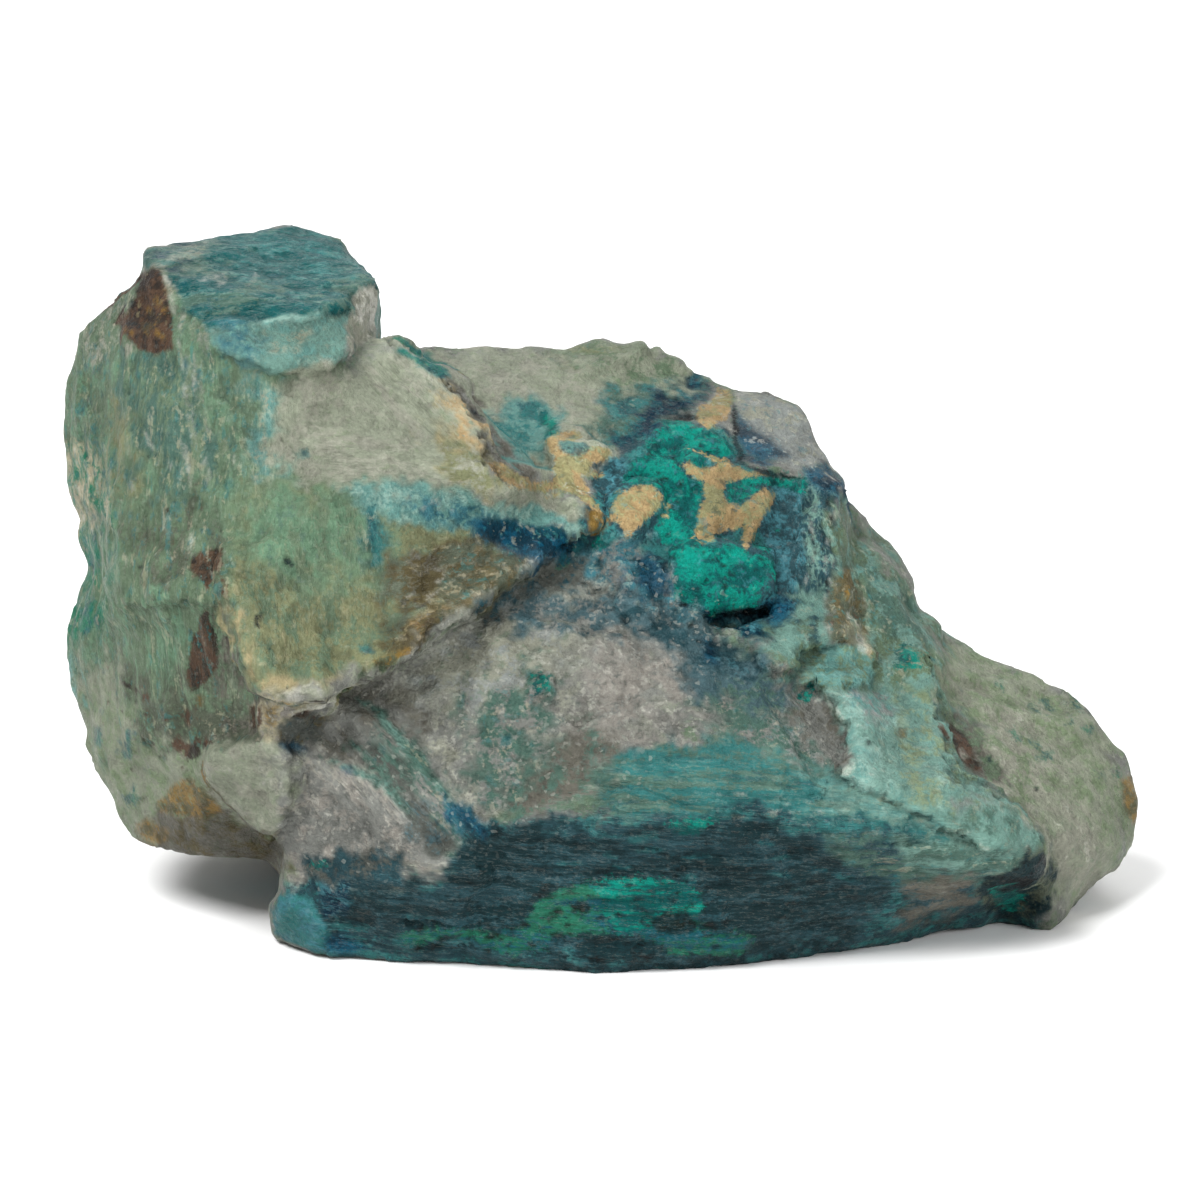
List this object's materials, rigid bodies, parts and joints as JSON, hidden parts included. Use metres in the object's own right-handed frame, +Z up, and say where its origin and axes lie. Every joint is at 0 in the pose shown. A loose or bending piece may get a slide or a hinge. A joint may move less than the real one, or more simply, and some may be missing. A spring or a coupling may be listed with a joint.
{
  "type": "chrysocolla specimen",
  "caption": "Hand-sized broken lump of drusy quartz and chrysocolla: a capped column at one end, a ridge and a long sloping tail at the other, standing on its flat underside.",
  "frame": {"origin": "on the resting plane, under the middle of the stone's plan", "axes": "+X along the stone's length, from the capped column to the tail; -Y towards its richer face; +Z up"},
  "size_m": [0.0898, 0.055, 0.0548],
  "materials": {
    "stone": "broken mineral, satin with glassy crystal faces"
  },
  "bodies": {
    "root": {"chrysocolla_stone": "stone"}
  },
  "joints": []
}
